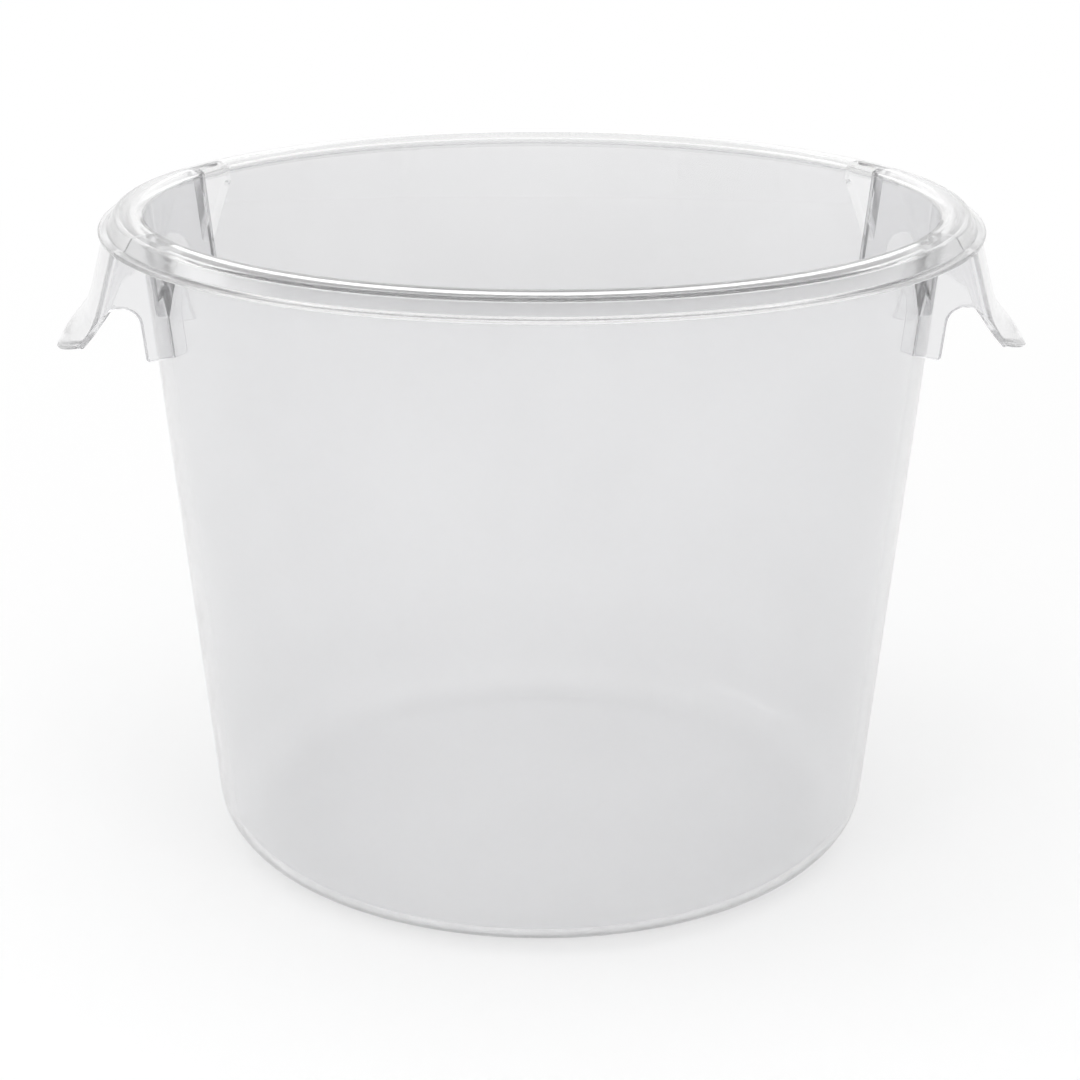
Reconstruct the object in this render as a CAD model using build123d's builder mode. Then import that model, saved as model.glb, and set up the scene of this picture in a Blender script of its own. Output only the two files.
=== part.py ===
# Round food tub for proofing dough, with a turned-over rim and two flared side handles.
# Millimetres. The origin is the middle of the foot, +Z is up, and the handles lie on the X axis.
# The real tub is a single moulding without a lid. Its regions are separate solids here, and
# they meet face to face: floor, base corner, side wall, rim, and for each handle a grip, a front
# and a rear web, and a front and a rear gusset under the rim.

from build123d import *
import math
import os

os.makedirs("parts", exist_ok=True)

# Tub: a straight cone over a rounded base corner.
tub_height = 193.0
lip_radius = 127.0          # the widest circle of the tub, at the edge of the rim's lip
rim_width = 11.6            # from the side wall's outer face to the lip's edge
wall_spread = 17.2          # how much wider the wall is under the rim than at the foot plane
wall_thickness = 2.0
floor_thickness = 2.4
base_round_radius = 16.0

# Rim: the wall turns outwards over a hollow channel, drops as a skirt and ends in a lip.
rim_depth = 6.2
crest_round = 2.4
crest_width = 3.4
crest_blend = 4.0
shoulder_inset = 4.6        # insets on the rim are measured inwards from the lip's edge
shoulder_drop = 0.8
shoulder_round = 1.5
skirt_foot_inset = 2.4
lip_thickness = 1.6
lip_slope_drop = 0.3
lip_edge_round = 0.5
channel_roof_thickness = 2.2
channel_foot_inset = 4.1
channel_lean = 1.9          # how far the skirt's inner face leans inwards on its way up
channel_round = 0.5

# Handles: a bowed grip hangs from the lip and flares outwards, closed by a web at each end.
handle_half_width = 50.0
handle_thickness = 2.2
handle_corner_radius = 5.5
handle_drop = 33.8
grip_inset = 1.6            # outer face of the grip at its top, inside the lip's edge
grip_bow_radius = 150.0     # bow of the grip, seen from above
grip_flare = 15.2
grip_edge_radius = 150.0    # arc of the grip's lower edge, seen from the side
web_depth = 6.0             # how much of each end of the handle belongs to its web

# Flare of the grip on its way down, as shares of the flare and of the handle's drop. The last
# level lies below the grip's edge, which is cut from it.
flare_shares = (
    (0.00, 0.00),
    (0.33, 0.53),
    (0.41, 0.62),
    (0.63, 0.75),
    (0.85, 0.87),
    (0.95, 0.94),
    (1.02, 1.06),
)

# Webs: a leg stands on the wall, and an arch opens between the leg and the grip.
leg_foot_inset = 16.3       # insets on the web are measured inwards from the grip's outer face
leg_foot_drop = 29.6
leg_foot_run = 7.9
leg_foot_rise = 1.4
leg_foot_round = 1.0
arch_inner_inset = 14.7
arch_outer_inset = 7.6
arch_drop = 14.6
arch_inner_round = 5.0
arch_outer_round = 3.0
arch_edge_run = 14.0
arch_edge_fall = 15.7

# Gussets: a small triangular pad beside each web, against the wall and up into the rim.
gusset_width = 12.0
gusset_drop = 17.0
gusset_thickness = 3.0

overrun = 2.0

# Heights and places worked out from the sizes above.
seat_z = tub_height - rim_depth
roof_z = tub_height - channel_roof_thickness
wall_top_radius = lip_radius - rim_width
foot_edge_radius = wall_top_radius - wall_spread
wall_slope_share = wall_spread / seat_z
base_turn = math.radians(90) + math.atan(wall_slope_share)
floor_radius = foot_edge_radius - base_round_radius / math.tan(base_turn / 2)
grip_face_x = lip_radius - grip_inset
grip_bow_x = grip_face_x - grip_bow_radius
grip_edge_z = seat_z - handle_drop
grip_half_width = handle_half_width - web_depth
handle_reach = lip_radius + grip_flare
below_z = grip_edge_z - overrun
leg_foot_x = grip_face_x - leg_foot_inset
leg_foot_z = seat_z - leg_foot_drop
arch_z = seat_z - arch_drop
arch_outer_x = grip_face_x - arch_outer_inset


def wall_radius(height):
    """Outer radius of the side wall at a height."""
    return foot_edge_radius + wall_slope_share * height


def bore_radius(height):
    """Inner radius of the side wall at a height."""
    return wall_radius(height) - wall_thickness


# Shell below the rim: the outer cone and its rounded corner, less the hollow inside.
with BuildPart() as shell:
    with BuildSketch(Plane.XZ):
        with BuildLine():
            outer = FilletPolyline(
                (0, 0),
                (foot_edge_radius, 0),
                (wall_top_radius, seat_z),
                radius=base_round_radius,
            )
            Polyline(outer @ 1, (0, seat_z), (0, 0))
        make_face()
        with BuildLine():
            inner = FilletPolyline(
                (0, floor_thickness),
                (bore_radius(floor_thickness), floor_thickness),
                (bore_radius(tub_height), tub_height),
                radius=base_round_radius - floor_thickness,
            )
            Polyline(inner @ 1, (0, tub_height), (0, floor_thickness))
        make_face(mode=Mode.SUBTRACT)
    revolve(axis=Axis.Z)

# Everything inside the wall's outer face, up to the channel's roof. The handles are cut back to it.
with BuildPart() as core:
    with BuildSketch(Plane.XZ):
        with BuildLine():
            Polyline(
                (0, 0),
                (foot_edge_radius, 0),
                (wall_radius(roof_z), roof_z),
                (0, roof_z),
                close=True,
            )
        make_face()
    revolve(axis=Axis.Z)

# The hollow under the rim, between the wall and the skirt.
with BuildPart() as channel:
    with BuildSketch(Plane.XZ):
        with BuildLine():
            hollow = FilletPolyline(
                (wall_top_radius, seat_z),
                (wall_radius(roof_z), roof_z),
                (lip_radius - channel_foot_inset - channel_lean, roof_z),
                (lip_radius - channel_foot_inset, seat_z),
                radius=channel_round,
            )
            Line(hollow @ 1, hollow @ 0)
        make_face()
    revolve(axis=Axis.Z)

# Flat middle of the bottom, which is also the face the tub stands on.
with BuildPart() as floor:
    add(shell.part)
    with BuildSketch():
        Circle(floor_radius)
    extrude(amount=base_round_radius, mode=Mode.INTERSECT)
floor.part.label = "floor"
export_step(floor.part, "parts/floor.step")

# Rounded corner between the floor and the side wall.
with BuildPart() as base_corner:
    add(shell.part)
    with BuildSketch():
        Circle(lip_radius)
        Circle(floor_radius, mode=Mode.SUBTRACT)
    extrude(amount=base_round_radius, mode=Mode.INTERSECT)
base_corner.part.label = "base_corner"
export_step(base_corner.part, "parts/base_corner.step")

with BuildPart() as side_wall:
    add(shell.part)
    with BuildSketch(Plane.XY.offset(base_round_radius)):
        Circle(lip_radius)
    extrude(amount=tub_height, mode=Mode.INTERSECT)
side_wall.part.label = "side_wall"
export_step(side_wall.part, "parts/side_wall.step")

# Rim, drawn from the bore over the crest and shoulder, down the skirt and out to the lip.
with BuildPart() as rim:
    with BuildSketch(Plane.XZ):
        with BuildLine():
            section = FilletPolyline(
                (bore_radius(seat_z), seat_z),
                (bore_radius(tub_height), tub_height),
                (bore_radius(tub_height) + crest_width, tub_height),
                (lip_radius - shoulder_inset, tub_height - shoulder_drop),
                (lip_radius - skirt_foot_inset, seat_z + lip_thickness),
                (lip_radius, seat_z + lip_thickness - lip_slope_drop),
                (lip_radius, seat_z),
                (wall_top_radius, seat_z),
                radius=(
                    crest_round,
                    crest_blend,
                    shoulder_round,
                    lip_edge_round,
                    lip_edge_round,
                    lip_edge_round,
                ),
            )
            Line(section @ 1, section @ 0)
        make_face()
    revolve(axis=Axis.Z)
    add(channel.part, mode=Mode.SUBTRACT)
rim.part.label = "rim"
export_step(rim.part, "parts/rim.step")


def handle_outline(height, flare, inset):
    """Plan of the handle at a height: a bowed front with rounded corners and straight ends."""
    with BuildSketch(Plane.XY.offset(height)) as outline:
        with Locations((grip_bow_x, 0)):
            Circle(grip_bow_radius + flare - inset)
        Rectangle(
            handle_reach,
            2 * (handle_half_width - inset),
            align=(Align.MIN, Align.CENTER),
            mode=Mode.INTERSECT,
        )
        ends = outline.vertices().filter_by(lambda corner: abs(corner.Y) > grip_half_width)
        fillet(ends.group_by(Axis.X)[-1], handle_corner_radius - inset)
    return outline.sketch


# Right handle in one piece: the flared face, hollowed out, with its lower edge and arches cut.
with BuildPart() as handle:
    for flare_share, drop_share in flare_shares:
        level = seat_z - drop_share * handle_drop
        add(handle_outline(level, flare_share * grip_flare, 0))
    loft(ruled=True)
    for flare_share, drop_share in flare_shares:
        level = seat_z - drop_share * handle_drop
        add(handle_outline(level, flare_share * grip_flare, handle_thickness))
    loft(ruled=True, mode=Mode.SUBTRACT)
    # The grip's lower edge is an arc that rises towards both corners.
    with BuildSketch(Plane.YZ):
        with Locations((0, grip_edge_z + grip_edge_radius)):
            Circle(grip_edge_radius)
    extrude(amount=2 * handle_reach, mode=Mode.INTERSECT)
    # The foot of each leg, the arch beside it, and the slanting edge that runs out to the corner.
    for side in (1, -1):
        with BuildSketch(Plane.XZ.offset(side * grip_half_width)):
            with BuildLine():
                edge = FilletPolyline(
                    (0, leg_foot_z + leg_foot_rise),
                    (leg_foot_x - leg_foot_run, leg_foot_z + leg_foot_rise),
                    (leg_foot_x, leg_foot_z),
                    (grip_face_x - arch_inner_inset, arch_z),
                    (arch_outer_x, arch_z),
                    (arch_outer_x + arch_edge_run, arch_z - arch_edge_fall),
                    radius=(0, leg_foot_round, arch_inner_round, arch_outer_round),
                )
                Polyline(edge @ 1, ((edge @ 1).X, below_z), (0, below_z), edge @ 0)
            make_face()
        extrude(amount=side * handle_half_width, mode=Mode.SUBTRACT)
    add(core.part, mode=Mode.SUBTRACT)

# The middle of the right handle, between its two webs.
with BuildPart() as grip:
    add(handle.part)
    with BuildSketch(Plane.XY.offset(below_z)):
        Rectangle(handle_reach, 2 * grip_half_width, align=(Align.MIN, Align.CENTER))
    extrude(amount=tub_height, mode=Mode.INTERSECT)

# The rear end of the right handle: a rib that fills the channel, the arch, leg and corner below.
with BuildPart() as web:
    with BuildSketch(Plane.XY.offset(below_z)):
        with Locations((0, handle_half_width)):
            Rectangle(handle_reach, handle_thickness, align=(Align.MIN, Align.MAX))
    extrude(amount=tub_height)
    add(channel.part, mode=Mode.INTERSECT)
    add(handle.part)
    with BuildSketch(Plane.XY.offset(below_z)):
        with Locations((0, grip_half_width)):
            Rectangle(handle_reach, handle_half_width, align=(Align.MIN, Align.MIN))
    extrude(amount=tub_height, mode=Mode.INTERSECT)

# Band on the wall's outer face that the gussets are cut from.
with BuildPart() as wall_band:
    with BuildSketch(Plane.XZ):
        with BuildLine():
            Polyline(
                (wall_radius(below_z), below_z),
                (wall_radius(below_z) + gusset_thickness, below_z),
                (wall_radius(roof_z) + gusset_thickness, roof_z),
                (wall_radius(roof_z), roof_z),
                close=True,
            )
        make_face()
    revolve(axis=Axis.Z)

# A triangular pad on the outer side of the rear web, filling the channel above it.
with BuildPart() as gusset:
    with BuildSketch(Plane.YZ):
        with BuildLine():
            Polyline(
                (handle_half_width, roof_z),
                (handle_half_width, seat_z - gusset_drop),
                (handle_half_width + gusset_width, seat_z),
                (handle_half_width + gusset_width, roof_z),
                close=True,
            )
        make_face()
    extrude(amount=handle_reach)
    add(wall_band.part, mode=Mode.INTERSECT)
    add(rim.part, mode=Mode.SUBTRACT)

# The handle pieces on both sides. The front ones mirror the rear ones, and left mirrors right.
for side_name in ("right", "left"):
    for piece_name, piece in (
        ("grip", grip),
        ("rear_web", web),
        ("front_web", web),
        ("rear_gusset", gusset),
        ("front_gusset", gusset),
    ):
        with BuildPart() as placed:
            add(piece.part)
            if piece_name.startswith("front"):
                mirror(about=Plane.XZ, mode=Mode.REPLACE)
            if side_name == "left":
                mirror(about=Plane.YZ, mode=Mode.REPLACE)
        placed.part.label = f"{side_name}_{piece_name}"
        export_step(placed.part, f"parts/{placed.part.label}.step")
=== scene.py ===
"""Round clear plastic tub for proofing dough, dressed around its packed model.

The tub is one moulding. It is drawn here as a turned shell with its rim, two flared side handles and
the triangular gussets beside them, all surfaces worked out with numpy in metres.
"""

import math

import bpy
import numpy as np
from mathutils import Matrix, Vector


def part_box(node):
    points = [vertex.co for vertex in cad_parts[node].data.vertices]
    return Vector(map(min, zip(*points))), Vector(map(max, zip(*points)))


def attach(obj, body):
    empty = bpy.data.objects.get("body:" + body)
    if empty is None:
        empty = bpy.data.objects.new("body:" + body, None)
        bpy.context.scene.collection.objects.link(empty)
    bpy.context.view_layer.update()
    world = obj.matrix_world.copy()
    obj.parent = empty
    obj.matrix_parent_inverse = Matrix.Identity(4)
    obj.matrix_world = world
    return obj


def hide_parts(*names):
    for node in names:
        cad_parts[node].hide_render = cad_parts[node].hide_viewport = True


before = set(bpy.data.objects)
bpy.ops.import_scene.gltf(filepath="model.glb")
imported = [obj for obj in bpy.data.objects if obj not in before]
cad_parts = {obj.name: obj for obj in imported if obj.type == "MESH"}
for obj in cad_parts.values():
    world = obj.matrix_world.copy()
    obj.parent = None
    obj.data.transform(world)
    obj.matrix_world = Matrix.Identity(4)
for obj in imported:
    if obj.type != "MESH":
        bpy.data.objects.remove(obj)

bl_info = {
    "name": "Dough Proofing Tub",
    "version": (1, 0, 0),
    "blender": (4, 5, 0),
    "location": "View3D > Sidebar > Proofing Tub",
    "description": "Builds a round clear food tub with a turned-over rim and two side handles",
    "category": "Add Mesh",
}

MM = 0.001
BODY = "root"
SHARP_ANGLE = math.radians(40)

# The whole CAD box, and the driving places read from the packed nodes.
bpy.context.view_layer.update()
RIM_LOW, RIM_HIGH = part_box("rim")
WALL_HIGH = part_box("side_wall")[1]
CORNER_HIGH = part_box("base_corner")[1]
WEB_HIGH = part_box("right_rear_web")[1]
GRIP_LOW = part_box("right_grip")[0]
GUSSET_LOW, GUSSET_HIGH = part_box("right_rear_gusset")

TUB_HEIGHT = RIM_HIGH.z
SEAT_Z = RIM_LOW.z
LIP_RADIUS = RIM_HIGH.y
WALL_TOP_RADIUS = WALL_HIGH.y
BASE_ROUND = CORNER_HIGH.z
WALL_SLOPE = (WALL_TOP_RADIUS - CORNER_HIGH.y) / (SEAT_Z - BASE_ROUND)
FOOT_RADIUS = WALL_TOP_RADIUS - WALL_SLOPE * SEAT_Z
HANDLE_HALF_WIDTH = WEB_HIGH.y
HANDLE_EDGE_Z = GRIP_LOW.z
GUSSET_END = GUSSET_HIGH.y
GUSSET_TIP_Z = GUSSET_LOW.z

# Flare of the grip on its way down, as shares of the flare and of the handle's drop.
FLARE_SHARES = (0.0, 0.16, 0.33, 0.41, 0.63, 0.85, 0.95, 1.02)
DROP_SHARES = (0.0, 0.265, 0.53, 0.62, 0.75, 0.87, 0.94, 1.06)

# Stations across a handle: where its slanting edge starts to blend into the grip's arc, the grip's
# middle, and the far wall.
SLANT_STATION = 1.6
MIDDLE_STATION = 3.0
FAR_STATION = 2 * MIDDLE_STATION

# Small distances: how far off the wall's cone a face counts as a gusset's, the step over which an edge's
# directions are taken, and the least run that an angle is taken from.
OFF_WALL = 0.05 * MM
STEP = 0.05 * MM
LEAST_RUN = 1e-9

# How finely the surfaces are cut. A cap closes the pole in the middle of the turned profile, and a guard
# keeps the shading of rounds off the flat runs between them.
POLE_RADIUS = 0.5 * MM
PROFILE_SPACING = 12 * MM
EDGE_SPACING = 1.2 * MM
GUARD = 0.3 * MM
ARC_STEPS = 12
ROUND_STEPS = 5
SHEET_ROWS = 26
GRIP_POINTS = 40
GUSSET_CUTS = 12
GUSSET_ROWS = 16
FLOOR_RINGS = 8
FLOOR_SEGMENTS = 96

# Noise settings of the hazy flow patches and of the moulding ripples.
HAZE_DETAIL = 3.0
HAZE_ROUGHNESS = 0.45
RIPPLE_DETAIL = 1.0

# The stage's floor, and the camera's sensor width in millimetres and nearest seen distance.
FLOOR_GAP = 0.2 * MM
FLOOR_THICKNESS = 5 * MM
SENSOR_WIDTH = 36.0
NEAR_CLIP = 10 * MM

# Each lamp's name, place, width and height in metres, power in watts, and whether it is seen in and
# through the plastic. One that isn't only fills.
LAMP_AIM = Vector((0.0, 0.0, 0.1))
LAMPS = (
    ("left_fill", (-0.88, -1.21, 0.28), 0.7, 0.5, 7.2, False),
    ("right_fill", (0.88, -1.21, 0.28), 0.7, 0.5, 7.2, False),
    ("top_fill", (0.0, -0.2, 1.8), 1.6, 1.2, 4.0, False),
    ("left_softbox", (-1.3, 0.05, 0.62), 0.85, 0.35, 2.0, True),
    ("back_softbox", (0.0, 1.7, 0.95), 2.6, 0.8, 3.2, True),
)


def length(label, text, value):
    """A length property, shown in the scene's own unit."""
    return bpy.props.FloatProperty(name=label, description=text, default=value, unit="LENGTH", precision=5)


def share(label, text, value):
    """A number from 0 to 1."""
    return bpy.props.FloatProperty(
        name=label, description=text, default=value, min=0.0, max=1.0, subtype="FACTOR"
    )


def angle(label, text, degrees):
    """An angle, given in degrees and kept in radians."""
    return bpy.props.FloatProperty(
        name=label, description=text, default=math.radians(degrees), unit="ROTATION"
    )


def linear_from_hex(colour):
    """Linear RGB of an sRGB hex colour such as #dfe3e8, by the sRGB transfer curve."""
    shares = [int(colour[i : i + 2], 16) / 255 for i in (1, 3, 5)]
    return tuple(s / 12.92 if s <= 0.04045 else ((s + 0.055) / 1.055) ** 2.4 for s in shares)


def colour(label, text, value):
    """A colour property whose default is an sRGB hex colour."""
    return bpy.props.FloatVectorProperty(
        name=label,
        description=text,
        default=linear_from_hex(value),
        size=3,
        min=0.0,
        max=1.0,
        subtype="COLOR",
    )


class TubSizes(bpy.types.PropertyGroup):
    """Wall, floor and rim sizes of the turned shell"""

    wall: length("Wall", "Thickness of the side wall", 2.0 * MM)
    floor: length("Floor", "Thickness of the floor", 2.4 * MM)
    crest_round: length("Crest Round", "Round between the bore and the crest", 2.4 * MM)
    crest_width: length("Crest Width", "Level crest from the bore outwards", 3.4 * MM)
    crest_blend: length("Crest Blend", "Round between the crest and the shoulder", 4.0 * MM)
    shoulder_inset: length("Shoulder Inset", "From the lip's edge in to the shoulder", 4.6 * MM)
    shoulder_drop: length("Shoulder Drop", "From the crest down to the shoulder", 0.8 * MM)
    shoulder_round: length("Shoulder Round", "Round over the shoulder", 1.5 * MM)
    skirt_inset: length("Skirt Inset", "From the lip's edge in to the skirt's foot", 2.4 * MM)
    lip: length("Lip", "Thickness of the lip at the skirt's foot", 1.6 * MM)
    lip_fall: length("Lip Fall", "Fall of the lip's upper face", 0.3 * MM)
    edge_round: length("Edge Round", "Round on the rim's small edges", 0.5 * MM)
    roof: length("Channel Roof", "Thickness over the hollow under the rim", 2.2 * MM)
    channel_inset: length("Channel Inset", "From the lip's edge in to the skirt's inner face", 4.1 * MM)
    channel_lean: length("Channel Lean", "How far the skirt's inner face leans in", 1.9 * MM)
    segments: bpy.props.IntProperty(name="Segments", description="Faces around the tub", default=288, min=64)


class HandleSizes(bpy.types.PropertyGroup):
    """Sizes of the two side handles and their gussets"""

    thickness: length("Thickness", "Thickness of the grip and webs", 2.2 * MM)
    corner: length("Corner Radius", "Round between a web and the grip, from above", 5.5 * MM)
    inset: length("Grip Inset", "From the lip's edge in to the grip's outer face", 1.6 * MM)
    bow: length("Grip Bow", "Radius of the grip, from above", 150.0 * MM)
    flare: length("Flare", "How far the grip flares out at its edge", 15.1 * MM)
    edge_arc: length("Edge Arc", "Radius of the grip's lower edge, from the side", 150.0 * MM)
    foot_inset: length("Leg Foot Inset", "From the grip in to the leg's outer corner", 16.3 * MM)
    foot_drop: length("Leg Foot Drop", "From the lip down to the leg's outer corner", 29.6 * MM)
    foot_run: length("Leg Foot Run", "Width of the leg's foot", 7.9 * MM)
    foot_rise: length("Leg Foot Rise", "Rise of the foot towards the wall", 1.4 * MM)
    foot_round: length("Leg Foot Round", "Round on the leg's outer corner", 1.0 * MM)
    arch_inner_inset: length("Arch Inner Inset", "From the grip in to the arch's inner corner", 14.7 * MM)
    arch_outer_inset: length("Arch Outer Inset", "From the grip in to the arch's outer corner", 7.6 * MM)
    arch_drop: length("Arch Drop", "From the lip down to the arch", 14.6 * MM)
    arch_inner_round: length("Arch Inner Round", "Round at the arch's inner corner", 5.0 * MM)
    arch_outer_round: length("Arch Outer Round", "Round at the arch's outer corner", 3.0 * MM)
    slant_run: length("Slant Run", "Run of the slanting edge from the arch to the tip", 14.0 * MM)
    slant_fall: length("Slant Fall", "Fall of the slanting edge over its run", 15.7 * MM)
    tip_blend: length("Tip Blend", "Softness where the slanting edge meets the lower edge", 1.6 * MM)
    edge_round: length("Edge Round", "Round on the handle's free edges", 0.7 * MM)
    sunk: length("Sunk Depth", "How deep roots run into the wall and the rim", 0.3 * MM)
    gusset_depth: length("Gusset Depth", "How far a gusset stands off the wall", 3.0 * MM)


class PlasticFinish(bpy.types.PropertyGroup):
    """Finish of the moulded clear plastic"""

    wall_tone: colour("Wall Tone", "Colour of the slightly milky wall and floor", "#f8f8f9")
    rim_tone: colour("Rim Tone", "Colour of the polished rim and gussets", "#f7f7f7")
    # The handles are the same plastic as the wall. Their darker tone is painted shade that sets the greys of
    # the grips and legs.
    handle_tint_and_shade: colour("Handle Tone", "Colour of the polished handles", "#f0f0f1")
    haze_share: share("Haze Share", "Tone of a hazy flow patch, as a share of the clean tone", 0.95)
    wall_clearness: share("Wall Clearness", "Share of light that a wall's face doesn't scatter", 0.8)
    polished_clearness: share("Polished Clearness", "The same share where the mould is polished", 1.0)
    ior: bpy.props.FloatProperty(name="IOR", description="Refraction of the plastic", default=1.49, min=1.0)
    gloss_low: share("Low Roughness", "Roughness of the glossiest patches", 0.02)
    gloss_high: share("High Roughness", "Roughness of the dullest patches", 0.05)
    handle_dullness: share("Handle Dullness", "Roughness added by wear on the handles", 0.04)
    rim_dullness: share("Rim Dullness", "Roughness added by wear on the rim", 0.09)
    haze_size: length("Haze Size", "Width of a hazy flow patch", 45.0 * MM)
    ripple_size: length("Ripple Size", "Width of a moulding ripple", 14.0 * MM)
    ripple_depth: length("Ripple Depth", "Depth of a moulding ripple", 0.02 * MM)


class StageSettings(bpy.types.PropertyGroup):
    """Camera, floor and lamps"""

    eye: bpy.props.FloatVectorProperty(
        name="Camera Place",
        description="Where the camera stands",
        default=(-12.74 * MM, -690.0 * MM, 327.16 * MM),
        size=3,
        subtype="TRANSLATION",
        unit="LENGTH",
    )
    yaw: angle("Yaw", "Turn of the view towards +X", 1.03)
    pitch: angle("Pitch", "Tilt of the view below level", 19.096)
    roll: angle("Roll", "Roll of the camera about its view", 0.128)
    lens: bpy.props.FloatProperty(name="Lens", description="Focal length in millimetres", default=80.18)
    floor_tone: colour("Floor Tone", "Colour of the floor", "#fbfbfb")
    floor_radius: length("Floor Radius", "Radius of the round floor", 4.0)
    floor_white: share("Floor White", "Share of the seen floor that is plain white at the tub", 0.5)
    white_near: length("White Near", "Distance from which the seen floor whitens", 0.15)
    white_far: length("White Far", "Distance beyond which the seen floor is plain white", 1.0)
    world_light: share("World Light", "Strength of the world on the object", 0.8)
    bounces: bpy.props.IntProperty(
        name="Bounces", description="Bounces of a light path, which runs far inside clear plastic", default=48
    )


def unit(vectors):
    """Each vector divided by its length."""
    return vectors / np.linalg.norm(vectors, axis=-1, keepdims=True)


def smooth_through(x, knots, values):
    """Cubic Hermite curve through the knots: in each interval the value is the sum of the two ends and
    their slopes, weighted by the Hermite polynomials; a slope is the gradient of the knots' polyline."""
    knots, values = np.asarray(knots), np.asarray(values)
    slopes = np.gradient(values, knots)
    i = np.clip(np.searchsorted(knots, x, side="right") - 1, 0, len(knots) - 2)
    width = knots[i + 1] - knots[i]
    t = np.clip((x - knots[i]) / width, 0.0, 1.0)
    return (
        (1 + 2 * t) * (1 - t) ** 2 * values[i]
        + t * (1 - t) ** 2 * width * slopes[i]
        + t**2 * (3 - 2 * t) * values[i + 1]
        - t**2 * (1 - t) * width * slopes[i + 1]
    )


def straight_run(start, end, spacing):
    """Points from start to end at an even spacing. A run longer than four guards has one more point a
    guard inside each end, so that the smooth shading of the rounds doesn't spread over it."""
    start, end = np.asarray(start, float), np.asarray(end, float)
    size = np.linalg.norm(end - start)
    shares = np.linspace(0.0, 1.0, max(2, math.ceil(size / spacing) + 1))
    if size > 4 * GUARD:
        shares = np.unique(np.append(shares, [GUARD / size, 1 - GUARD / size]))
    return start + shares[:, None] * (end - start)


def rounded_path(corners, radii, spacing):
    """Points along a polyline whose inner corners are arcs. An arc's centre lies on the corner's bisector,
    its radius over the sine of half the corner's angle away, and it turns by pi less that angle."""
    corners = np.asarray(corners, float)
    path = []
    at = corners[0]
    for corner, after, radius in zip(corners[1:-1], corners[2:], radii):
        back, ahead = unit(at - corner), unit(after - corner)
        half = math.acos(np.clip(back @ ahead, -1.0, 1.0)) / 2
        reach = radius / math.tan(half)
        centre = corner + unit(back + ahead) * radius / math.sin(half)
        first = corner + back * reach - centre
        last = corner + ahead * reach - centre
        turn = math.pi - 2 * half
        t = np.linspace(0.0, 1.0, ARC_STEPS + 1)[:, None]
        arc = centre + (np.sin((1 - t) * turn) * first + np.sin(t * turn) * last) / math.sin(turn)
        path.append(straight_run(at, arc[0], spacing)[:-1])
        path.append(arc[:-1])
        at = arc[-1]
    path.append(straight_run(at, corners[-1], spacing))
    return np.concatenate(path)


def shade(mesh):
    """Smooth shading, but for edges that turn by more than the sharp angle."""
    mesh.shade_smooth()
    mesh.set_sharp_from_angle(angle=SHARP_ANGLE)


def weld(piece, part):
    """Unites a part with a piece by an exact Boolean, so that no face is left inside the clear plastic."""
    joint = piece.modifiers.new("weld", "BOOLEAN")
    joint.operation = "UNION"
    joint.solver = "EXACT"
    joint.object = part
    graph = bpy.context.evaluated_depsgraph_get()
    welded = bpy.data.meshes.new_from_object(piece.evaluated_get(graph))
    piece.modifiers.clear()
    piece.data = welded
    shade(welded)
    bpy.data.objects.remove(part)


def closed_tube(name, rings):
    """A closed surface through a row of rings, an array (ring, point around, 3). Neighbouring points make
    the quads, and each end is closed by triangles to the mean of its ring. Where the signed volume, a
    sixth of the sum of each triangle's box product, is negative, every face is turned round."""
    count, around = rings.shape[:2]
    points = np.concatenate([rings.reshape(-1, 3), rings[:1].mean(axis=1), rings[-1:].mean(axis=1)])
    ring, side = np.meshgrid(np.arange(count - 1), np.arange(around), indexing="ij")
    after = (side + 1) % around
    low, high = ring * around, (ring + 1) * around
    quads = np.stack([low + side, low + after, high + after, high + side], axis=-1).reshape(-1, 4)
    edge = np.arange(around)
    turned = (edge + 1) % around
    last = (count - 1) * around
    first_cap = np.stack([np.full(around, count * around), turned, edge], axis=-1)
    last_cap = np.stack([np.full(around, count * around + 1), last + edge, last + turned], axis=-1)
    triangles = np.concatenate([quads[:, [0, 1, 2]], quads[:, [0, 2, 3]], first_cap, last_cap])
    a, b, c = (points[triangles[:, i]] for i in range(3))
    if np.einsum("ij,ij->i", a, np.cross(b, c)).sum() < 0:
        quads, first_cap, last_cap = quads[:, ::-1], first_cap[:, ::-1], last_cap[:, ::-1]
    mesh = bpy.data.meshes.new(name)
    mesh.from_pydata(points.tolist(), [], quads.tolist() + first_cap.tolist() + last_cap.tolist())
    shade(mesh)
    piece = bpy.data.objects.new(name, mesh)
    bpy.context.scene.collection.objects.link(piece)
    return piece


def finish_piece(piece, material, *nodes):
    """Gives a piece its material and ties it to the frame in the place of its CAD nodes."""
    piece.data.materials.append(material)
    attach(piece, BODY)
    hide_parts(*nodes)


def add_node(tree, kind, settings=None, **inputs):
    """Adds one node. Settings are its own attributes. An input is a value, or another node's output."""
    node = tree.nodes.new(kind)
    for key, value in (settings or {}).items():
        setattr(node, key, value)
    for key, value in inputs.items():
        socket = node.inputs[int(key[1:])] if key[1:].isdigit() else node.inputs[key.replace("_", " ")]
        if isinstance(value, bpy.types.NodeSocket):
            tree.links.new(value, socket)
        else:
            socket.default_value = value
    return node


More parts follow.
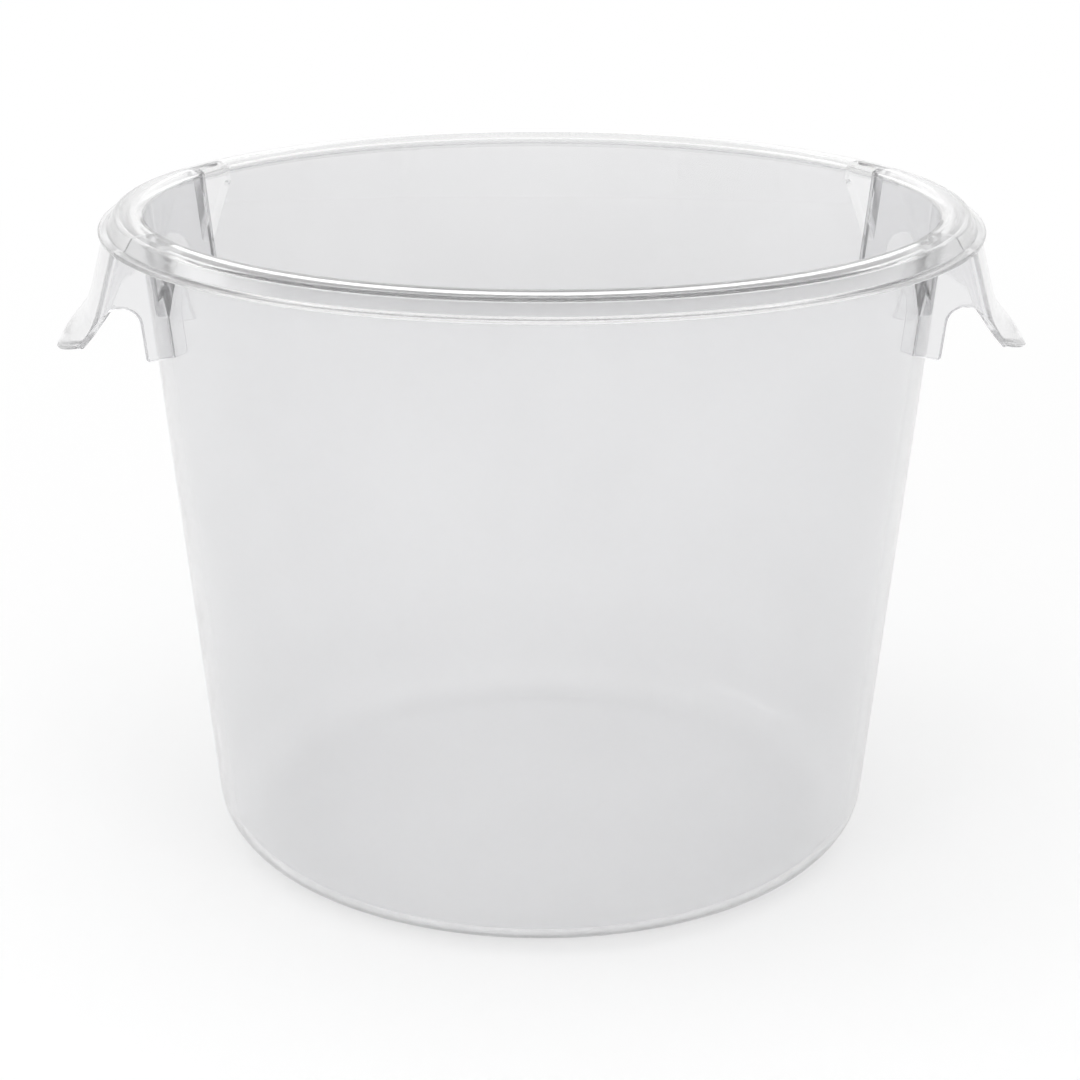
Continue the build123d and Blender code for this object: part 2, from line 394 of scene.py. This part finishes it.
def clear_plastic(name, tone, clearness, dullness=0.0):
    """Injection-moulded clear food-grade plastic. It is glossy, what isn't clear scatters the light, and
    slow flow patches and ripples from the mould blur what is behind it."""
    finish = bpy.context.scene.tub_plastic
    material = bpy.data.materials.new(name)
    material.use_nodes = True
    tree = material.node_tree
    tree.nodes.clear()
    place = add_node(tree, "ShaderNodeTexCoord").outputs["Object"]
    haze = add_node(
        tree,
        "ShaderNodeTexNoise",
        Vector=place,
        Scale=1 / finish.haze_size,
        Detail=HAZE_DETAIL,
        Roughness=HAZE_ROUGHNESS,
    ).outputs["Fac"]
    hazy = [part * finish.haze_share for part in tone]
    patches = add_node(
        tree, "ShaderNodeMix", {"data_type": "RGBA"}, _0=haze, _6=(*tone, 1.0), _7=(*hazy, 1.0)
    ).outputs[2]
    gloss = add_node(
        tree,
        "ShaderNodeMapRange",
        Value=haze,
        To_Min=finish.gloss_low + dullness,
        To_Max=finish.gloss_high + dullness,
    ).outputs["Result"]
    ripple = add_node(
        tree, "ShaderNodeTexNoise", Vector=place, Scale=1 / finish.ripple_size, Detail=RIPPLE_DETAIL
    ).outputs["Fac"]
    bump = add_node(
        tree, "ShaderNodeBump", Height=ripple, Distance=finish.ripple_depth, Strength=1.0
    ).outputs["Normal"]
    surface = add_node(
        tree,
        "ShaderNodeBsdfPrincipled",
        Base_Color=patches,
        Roughness=gloss,
        IOR=finish.ior,
        Transmission_Weight=clearness,
        Normal=bump,
    )
    add_node(tree, "ShaderNodeOutputMaterial", Surface=surface.outputs["BSDF"])
    return material


def wall_radius(height):
    """Outer radius of the side wall at a height: a straight cone."""
    return FOOT_RADIUS + WALL_SLOPE * height


def polish(mesh, material):
    """Gives the shell's rim and gussets a material of their own: every face whose middle is above the
    rim's seat, or farther out than the wall at its height."""
    mesh.materials.append(material)
    middles = np.empty(3 * len(mesh.polygons))
    mesh.polygons.foreach_get("center", middles)
    x, y, z = middles.reshape(-1, 3).T
    polished = (z > SEAT_Z) | (np.hypot(x, y) > wall_radius(z) + OFF_WALL)
    mesh.polygons.foreach_set("material_index", np.where(polished, len(mesh.materials) - 1, 0))
    mesh.update()


class ShellOperator(bpy.types.Operator):
    """Turn the tub's shell: floor, rounded corner, tapered wall and turned-over rim"""

    bl_idname = "object.proofing_tub_shell"
    bl_label = "Tub Shell"

    def execute(self, context):
        """The profile (radius, height) runs from the bottom's middle out, up the wall, round the rim and
        down the bore to the floor's middle, and turns about Z: x = r cos a, y = r sin a."""
        size = context.scene.tub_sizes
        roof_z = TUB_HEIGHT - size.roof
        bore_top = wall_radius(TUB_HEIGHT) - size.wall
        bore_foot = wall_radius(size.floor) - size.wall
        corners = (
            (POLE_RADIUS, 0.0),
            (FOOT_RADIUS, 0.0),
            (wall_radius(roof_z), roof_z),
            (LIP_RADIUS - size.channel_inset - size.channel_lean, roof_z),
            (LIP_RADIUS - size.channel_inset, SEAT_Z),
            (LIP_RADIUS, SEAT_Z),
            (LIP_RADIUS, SEAT_Z + size.lip - size.lip_fall),
            (LIP_RADIUS - size.skirt_inset, SEAT_Z + size.lip),
            (LIP_RADIUS - size.shoulder_inset, TUB_HEIGHT - size.shoulder_drop),
            (bore_top + size.crest_width, TUB_HEIGHT),
            (bore_top, TUB_HEIGHT),
            (bore_foot, size.floor),
            (POLE_RADIUS, size.floor),
        )
        small_edges = 6
        radii = (
            BASE_ROUND,
            *[size.edge_round] * small_edges,
            size.shoulder_round,
            size.crest_blend,
            size.crest_round,
            BASE_ROUND - size.floor,
        )
        profile = rounded_path(corners, radii, spacing=PROFILE_SPACING)
        turn = np.linspace(0.0, 2 * math.pi, size.segments, endpoint=False)
        rings = np.stack(
            [
                profile[:, :1] * np.cos(turn),
                profile[:, :1] * np.sin(turn),
                np.repeat(profile[:, 1:], size.segments, axis=1),
            ],
            axis=-1,
        )
        piece = closed_tube("tub_shell", rings)
        finish = context.scene.tub_plastic
        material = clear_plastic("moulded_clear_plastic", finish.wall_tone, finish.wall_clearness)
        finish_piece(piece, material, "floor", "base_corner", "side_wall", "rim")
        return {"FINISHED"}


class HandleForm:
    """Surface of one handle. A station runs from 0 at the wall over 1, the corner's start, and 2, the
    corner's end, to 3, the grip's middle, and on to 6 at the other wall."""

    def __init__(self, size):
        """Under the lip the grip's outer face has its middle at face_x and its bow's centre at bow_x."""
        self.size = size
        self.face_x = LIP_RADIUS - size.inset
        self.bow_x = self.face_x - size.bow

    def flare(self, height):
        """How far the grip stands out at a height, a smooth curve through the flare shares."""
        drop = (SEAT_Z - height) / (SEAT_Z - HANDLE_EDGE_Z)
        return self.size.flare * smooth_through(np.maximum(drop, 0.0), DROP_SHARES, FLARE_SHARES)

    def frame_at(self, height):
        """Plan sizes at a height: root x on the wall, corner centre x and y, bow radius, and the angle on
        the bow where the corner ends, whose sine is the corner's y over the bow radius less the corner's."""
        size = self.size
        root_x = np.sqrt((wall_radius(height) - size.sunk) ** 2 - HANDLE_HALF_WIDTH**2)
        bow = size.bow + self.flare(height)
        centre_y = HANDLE_HALF_WIDTH - size.corner
        centre_x = self.bow_x + np.sqrt((bow - size.corner) ** 2 - centre_y**2)
        meet = np.arcsin(centre_y / (bow - size.corner))
        return root_x, centre_x, centre_y, bow, meet

    def point(self, station, height, inset):
        """Place on the sheet. On the web x runs evenly from the root to the corner's start; on the corner
        the angle runs evenly about its centre; on the grip the angle runs evenly about the bow's centre.
        The inset moves the place inwards, square to the plan's outline."""
        side = np.where(station > MIDDLE_STATION, 1.0, -1.0)
        s = np.where(station > MIDDLE_STATION, FAR_STATION - station, station)
        root_x, centre_x, centre_y, bow, meet = self.frame_at(height)
        on_web, on_corner = np.clip(s, 0, 1), np.clip(s - 1, 0, 1)
        on_grip = np.clip(s - 2, 0, 1)
        lean = on_corner * (math.pi / 2 - meet)
        web_x = root_x + (centre_x - root_x) * on_web
        corner_x = centre_x + (self.size.corner - inset) * np.sin(lean)
        corner_y = centre_y + (self.size.corner - inset) * np.cos(lean)
        grip_angle = meet * (1 - on_grip)
        grip_x = self.bow_x + (bow - inset) * np.cos(grip_angle)
        grip_y = (bow - inset) * np.sin(grip_angle)
        x = np.where(s < 1, web_x, np.where(s < 2, corner_x, grip_x))
        y = np.where(s < 1, HANDLE_HALF_WIDTH - inset, np.where(s < 2, corner_y, grip_y))
        return np.stack([x, side * y, height + 0 * x], axis=-1)

    def station(self, x, y, height):
        """Station of a place on the front half of the outer face, the inverse of point()."""
        root_x, centre_x, centre_y, _, meet = self.frame_at(height)
        lean = np.arctan2(x - centre_x, np.maximum(np.abs(y) - centre_y, LEAST_RUN))
        grip_angle = np.arctan2(np.abs(y), x - self.bow_x)
        on_web = (x - root_x) / (centre_x - root_x)
        on_corner = 1 + lean / (math.pi / 2 - meet)
        on_grip = MIDDLE_STATION - grip_angle / meet
        return np.where(x < centre_x, on_web, np.where(grip_angle > meet, on_corner, on_grip))

    def top(self, station):
        """Height of the upper end: into the channel's roof, less where the skirt comes down, and just
        into the lip's underside beyond it."""
        tub = bpy.context.scene.tub_sizes
        reach = np.hypot(*np.moveaxis(self.point(station, SEAT_Z + 0 * station, 0.0), -1, 0)[:2])
        skirt = LIP_RADIUS - tub.channel_inset + self.size.sunk
        rise = (skirt - reach) / tub.channel_lean
        depth = TUB_HEIGHT - tub.roof - SEAT_Z
        return SEAT_Z + self.size.sunk + depth * np.clip(rise, 0.0, 1.0)

    def lower_edge(self):
        """Stations and heights of the lower edge, from one wall to the other: the leg's foot and side, the
        arch and the slanting edge, then the grip's arc. Past the arch the height is the smooth maximum of
        the slant and the arc, half their sum plus half the root of their difference squared plus softness
        squared."""
        size = self.size
        foot_x, foot_z = self.face_x - size.foot_inset, SEAT_Z - size.foot_drop
        arch_z = SEAT_Z - size.arch_drop
        outer_x = self.face_x - size.arch_outer_inset
        corners = (
            (foot_x - size.foot_run - 2 * size.foot_round, foot_z + size.foot_rise),
            (foot_x - size.foot_run, foot_z + size.foot_rise),
            (foot_x, foot_z),
            (self.face_x - size.arch_inner_inset, arch_z),
            (outer_x, arch_z),
            (outer_x + size.slant_run, arch_z - size.slant_fall),
        )
        radii = (size.foot_round, size.foot_round, size.arch_inner_round, size.arch_outer_round)
        path = rounded_path(corners, radii, spacing=EDGE_SPACING)
        path = path[path[:, 0] > self.frame_at(path[:, 1])[0]]
        x, z = path.T
        _, centre_x, centre_y, bow, meet = self.frame_at(z)
        lean = np.arcsin(np.clip((x - centre_x) / size.corner, 0.0, 1.0))
        corner_y = centre_y + size.corner * np.cos(lean)
        grip_y = np.sqrt(np.maximum(bow**2 - (x - self.bow_x) ** 2, 0.0))
        y = np.where(x < centre_x + size.corner * np.cos(meet), corner_y, grip_y)
        reached = self.station(x, y, z)
        slant = reached > SLANT_STATION
        free = np.linspace(SLANT_STATION, MIDDLE_STATION, GRIP_POINTS)[1:]
        slant_z = np.interp(free, reached[slant], z[slant], right=0.0)
        arc_z = self.arc_height(free, slant_z)
        gap = slant_z - arc_z
        free_z = (slant_z + arc_z + np.sqrt(gap**2 + size.tip_blend**2)) / 2
        stations = np.append(reached[~slant], free)
        heights = np.append(z[~slant], free_z)
        return np.append(stations, FAR_STATION - stations[-2::-1]), np.append(heights, heights[-2::-1])

    def arc_height(self, station, height):
        """Height of the grip's lower arc at a station: its centre's height less the root of its radius
        squared less y squared."""
        y = self.point(station, np.maximum(height, HANDLE_EDGE_Z), 0.0)[..., 1]
        return HANDLE_EDGE_Z + self.size.edge_arc - np.sqrt(self.size.edge_arc**2 - y**2)

    def rings(self):
        """Rings across the sheet, one at each station: down the outer face, round the lower edge, up the
        inner face. The round lies square to the edge, from the edge's tangent and the face's normal."""
        size = self.size
        stations, heights = self.lower_edge()
        edge = self.point(stations, heights, 0.0)
        along = unit(np.gradient(edge, axis=0))
        upward = self.point(stations, heights + STEP, 0.0) - edge
        inward = unit(self.point(stations, heights, STEP) - edge)
        normal = -unit(inward - (inward * along).sum(-1, keepdims=True) * along)
        into = np.cross(along, normal)
        into *= np.sign((into * upward).sum(-1, keepdims=True))
        start = edge + size.edge_round * into
        front = self.station(start[:, 0], start[:, 1], start[:, 2])
        start_station = np.where(stations > MIDDLE_STATION, FAR_STATION - front, front)
        down = np.linspace(0.0, 1.0, SHEET_ROWS)[:, None]
        top_z = self.top(stations)
        face_station = stations + (start_station - stations) * down
        face_z = top_z + (start[:, 2] - top_z) * down
        faces = [self.point(face_station, face_z, inset) for inset in (0.0, size.thickness)]
        turn = np.linspace(0.0, math.pi / 2, ROUND_STEPS + 1)[1:, None, None]
        depth = size.thickness - size.edge_round
        first = edge + size.edge_round * ((1 - np.sin(turn)) * into - (1 - np.cos(turn)) * normal)
        second = (
            edge
            + size.edge_round * (1 - np.cos(turn)) * into
            - (depth + size.edge_round * np.sin(turn)) * normal
        )
        second[-1] = faces[1][-1]
        flat = edge - depth * normal
        loop = np.concatenate([faces[0], first, flat[None], second[:-1], faces[1][::-1]])
        return np.moveaxis(loop, 0, 1)


class HandleOperator(bpy.types.Operator):
    """Build the two flared side handles, each with its webs, arches and legs"""

    bl_idname = "object.proofing_tub_handles"
    bl_label = "Side Handles"

    def execute(self, context):
        """Each handle is one bent sheet; the left one has x turned to -x."""
        rings = HandleForm(context.scene.tub_handles).rings()
        finish = context.scene.tub_plastic
        # The handles' tone is darker than the wall's: painted shade on the same plastic.
        material = clear_plastic(
            "moulded_clear_handle", finish.handle_tint_and_shade, finish.polished_clearness, finish.handle_dullness
        )
        for side_name, side in (("right", 1.0), ("left", -1.0)):
            piece = closed_tube(f"{side_name}_handle", rings * (side, 1.0, 1.0))
            nodes = [f"{side_name}_{part}" for part in ("grip", "front_web", "rear_web")]
            finish_piece(piece, material, *nodes)
        return {"FINISHED"}


class GussetOperator(bpy.types.Operator):
    """Build the four triangular gussets under the rim, one beside each web"""

    bl_idname = "object.proofing_tub_gussets"
    bl_label = "Gussets"

    def execute(self, context):
        """A pad on the wall: x is the root of (wall radius + depth) squared less y squared. Each ring is
        a cut at one y, down the face, round the slanting edge and up inside the wall. Towards its end the
        pad's depth falls along a quarter circle. Once the pads are on, the rim and they are polished."""
        tub, size = context.scene.tub_sizes, context.scene.tub_handles
        rounding, depth = size.edge_round, size.gusset_depth
        start = HANDLE_HALF_WIDTH - size.sunk
        turn = np.linspace(0.0, math.pi / 2, ROUND_STEPS + 1)[1:]
        flat = np.linspace(start, GUSSET_END - rounding, GUSSET_CUTS)
        y = np.append(flat, flat[-1] + rounding * np.sin(turn))[:, None]
        fall = np.append(0 * flat, rounding * (1 - np.cos(turn)))[:, None]
        slope = (SEAT_Z - GUSSET_TIP_Z) / (GUSSET_END - HANDLE_HALF_WIDTH)
        low = np.maximum(GUSSET_TIP_Z + slope * (y - HANDLE_HALF_WIDTH), GUSSET_TIP_Z)
        top = TUB_HEIGHT - tub.roof + size.sunk
        slant = rounding * math.hypot(1.0, slope)
        down = np.linspace(0.0, 1.0, GUSSET_ROWS)
        face_z = top + (low + slant - top) * down
        face_depth = depth - fall + 0 * face_z
        edge_z = low + slant * (1 - np.sin(turn))
        edge_depth = depth - fall - rounding * (1 - np.cos(turn))
        back_z = low + (top - low) * down
        back_depth = -size.sunk + 0 * back_z
        z = np.concatenate([face_z, edge_z, back_z], axis=1)
        off_wall = np.concatenate([face_depth, edge_depth, back_depth], axis=1)
        x = np.sqrt((wall_radius(z) + off_wall) ** 2 - y**2)
        rings = np.stack([x, y + 0 * z, z], axis=-1)
        shell = bpy.data.objects["tub_shell"]
        for side_name, side in (("right", 1.0), ("left", -1.0)):
            for end_name, end in (("rear", 1.0), ("front", -1.0)):
                name = f"{side_name}_{end_name}_gusset"
                weld(shell, closed_tube(name, rings * (side, end, 1.0)))
                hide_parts(name)
        finish = context.scene.tub_plastic
        material = clear_plastic(
            "moulded_clear_rim", finish.rim_tone, finish.polished_clearness, finish.rim_dullness
        )
        polish(shell.data, material)
        return {"FINISHED"}


def softbox(name, place, width, height, power, seen_in_plastic):
    """A rectangular area lamp at a place, turned to shine at the lamps' aim."""
    lamp = bpy.data.lights.new(name, "AREA")
    lamp.shape = "RECTANGLE"
    lamp.size, lamp.size_y = width, height
    lamp.energy = power
    holder = bpy.data.objects.new(name, lamp)
    holder.location = place
    holder.rotation_euler = (LAMP_AIM - Vector(place)).to_track_quat("-Z", "Y").to_euler()
    holder.visible_glossy = holder.visible_transmission = seen_in_plastic
    bpy.context.scene.collection.objects.link(holder)


def seen_directly(tree):
    """1 for camera, glossy and transmission rays, which see the white background, and 0 for the rest."""
    rays = add_node(tree, "ShaderNodeLightPath").outputs
    some = add_node(
        tree, "ShaderNodeMath", {"operation": "MAXIMUM"}, _0=rays["Is Camera Ray"], _1=rays["Is Glossy Ray"]
    ).outputs[0]
    return add_node(
        tree, "ShaderNodeMath", {"operation": "MAXIMUM"}, _0=some, _1=rays["Is Transmission Ray"]
    ).outputs[0]


class StageOperator(bpy.types.Operator):
    """Set the pale floor, the white surroundings, the soft lamps and the camera"""

    bl_idname = "scene.proofing_tub_stage"
    bl_label = "Stage"

    def execute(self, context):
        """The floor is a disc of rings, and the camera turns by yaw, pitch and roll."""
        scene, stage = context.scene, context.scene.tub_stage
        self.lay_floor(stage)
        self.light_world(scene, stage)
        for lamp in LAMPS:
            softbox(*lamp)
        cycles = scene.cycles
        cycles.max_bounces = cycles.glossy_bounces = cycles.transmission_bounces = stage.bounces
        camera = bpy.data.cameras.new("camera")
        camera.lens = stage.lens
        camera.sensor_width = SENSOR_WIDTH
        camera.clip_start = NEAR_CLIP
        holder = bpy.data.objects.new("camera", camera)
        turn = (
            Matrix.Rotation(-stage.yaw, 4, "Z")
            @ Matrix.Rotation(math.pi / 2 - stage.pitch, 4, "X")
            @ Matrix.Rotation(stage.roll, 4, "Z")
        )
        holder.matrix_world = Matrix.Translation(Vector(stage.eye)) @ turn
        scene.collection.objects.link(holder)
        scene.camera = holder
        scene.view_settings.view_transform = "Standard"
        return {"FINISHED"}

    def lay_floor(self, stage):
        """A round floor just under the tub, from rings whose radii grow evenly. Where it is seen directly
        its paint gives way to plain white with distance, so that it keeps the tub's shadow."""
        radii = np.linspace(0.0, stage.floor_radius, FLOOR_RINGS + 1)[1:, None]
        turn = np.linspace(0.0, 2 * math.pi, FLOOR_SEGMENTS, endpoint=False)
        level = np.full((FLOOR_RINGS, FLOOR_SEGMENTS), -FLOOR_GAP)
        upper = np.stack([radii * np.cos(turn), radii * np.sin(turn), level], axis=-1)
        lower = upper[::-1] - (0.0, 0.0, FLOOR_THICKNESS)
        floor = closed_tube("stage_floor", np.concatenate([upper, lower]))
        material = bpy.data.materials.new("matt_white_table")
        material.use_nodes = True
        tree = material.node_tree
        tree.nodes.clear()
        paint = add_node(tree, "ShaderNodeBsdfDiffuse", Color=(*stage.floor_tone, 1.0)).outputs[0]
        white = add_node(tree, "ShaderNodeEmission", Strength=1.0).outputs[0]
        place = add_node(tree, "ShaderNodeTexCoord").outputs["Object"]
        distance = add_node(tree, "ShaderNodeVectorMath", {"operation": "LENGTH"}, _0=place).outputs["Value"]
        whiteness = add_node(
            tree,
            "ShaderNodeMapRange",
            {"interpolation_type": "SMOOTHSTEP"},
            Value=distance,
            From_Min=stage.white_near,
            From_Max=stage.white_far,
            To_Min=stage.floor_white,
            To_Max=1.0,
        ).outputs["Result"]
        factor = add_node(
            tree, "ShaderNodeMath", {"operation": "MULTIPLY"}, _0=seen_directly(tree), _1=whiteness
        ).outputs[0]
        both = add_node(tree, "ShaderNodeMixShader", _0=factor, _1=paint, _2=white).outputs[0]
        add_node(tree, "ShaderNodeOutputMaterial", Surface=both)
        floor.data.materials.append(material)

    def light_world(self, scene, stage):
        """White where it is seen directly or in a reflection, and a plain soft light elsewhere."""
        world = bpy.data.worlds.new("studio")
        world.use_nodes = True
        scene.world = world
        tree = world.node_tree
        tree.nodes.clear()
        strength = add_node(
            tree,
            "ShaderNodeMix",
            {"data_type": "FLOAT"},
            _0=seen_directly(tree),
            _2=stage.world_light,
            _3=1.0,
        ).outputs[0]
        light = add_node(tree, "ShaderNodeBackground", Color=(1.0, 1.0, 1.0, 1.0), Strength=strength)
        add_node(tree, "ShaderNodeOutputWorld", Surface=light.outputs[0])


class TubPanel(bpy.types.Panel):
    """Lists the tub's steps and sizes in the sidebar"""

    bl_idname = "VIEW3D_PT_proofing_tub"
    bl_label = "Proofing Tub"
    bl_space_type = "VIEW_3D"
    bl_region_type = "UI"
    bl_category = "Proofing Tub"

    def draw(self, context):
        """One button for each operator, then the properties of each group."""
        for step in OPERATORS:
            self.layout.operator(step.bl_idname)
        for key, group in GROUPS.items():
            box = self.layout.box()
            box.label(text=group.__doc__)
            for name in group.__annotations__:
                box.prop(getattr(context.scene, key), name)


OPERATORS = (ShellOperator, HandleOperator, GussetOperator, StageOperator)
GROUPS = {
    "tub_sizes": TubSizes,
    "tub_handles": HandleSizes,
    "tub_plastic": PlasticFinish,
    "tub_stage": StageSettings,
}


def register():
    """Registers the classes and hangs the property groups on the scene."""
    for cls in (*GROUPS.values(), *OPERATORS, TubPanel):
        bpy.utils.register_class(cls)
    for key, group in GROUPS.items():
        setattr(bpy.types.Scene, key, bpy.props.PointerProperty(type=group))


def unregister():
    """Takes the property groups off the scene and unregisters the classes."""
    for key in GROUPS:
        delattr(bpy.types.Scene, key)
    for cls in (TubPanel, *OPERATORS[::-1], *tuple(GROUPS.values())[::-1]):
        bpy.utils.unregister_class(cls)


def main():
    """Builds every piece and the stage."""
    register()
    bpy.ops.object.proofing_tub_shell()
    bpy.ops.object.proofing_tub_handles()
    bpy.ops.object.proofing_tub_gussets()
    bpy.ops.scene.proofing_tub_stage()


if __name__ == "__main__":
    main()
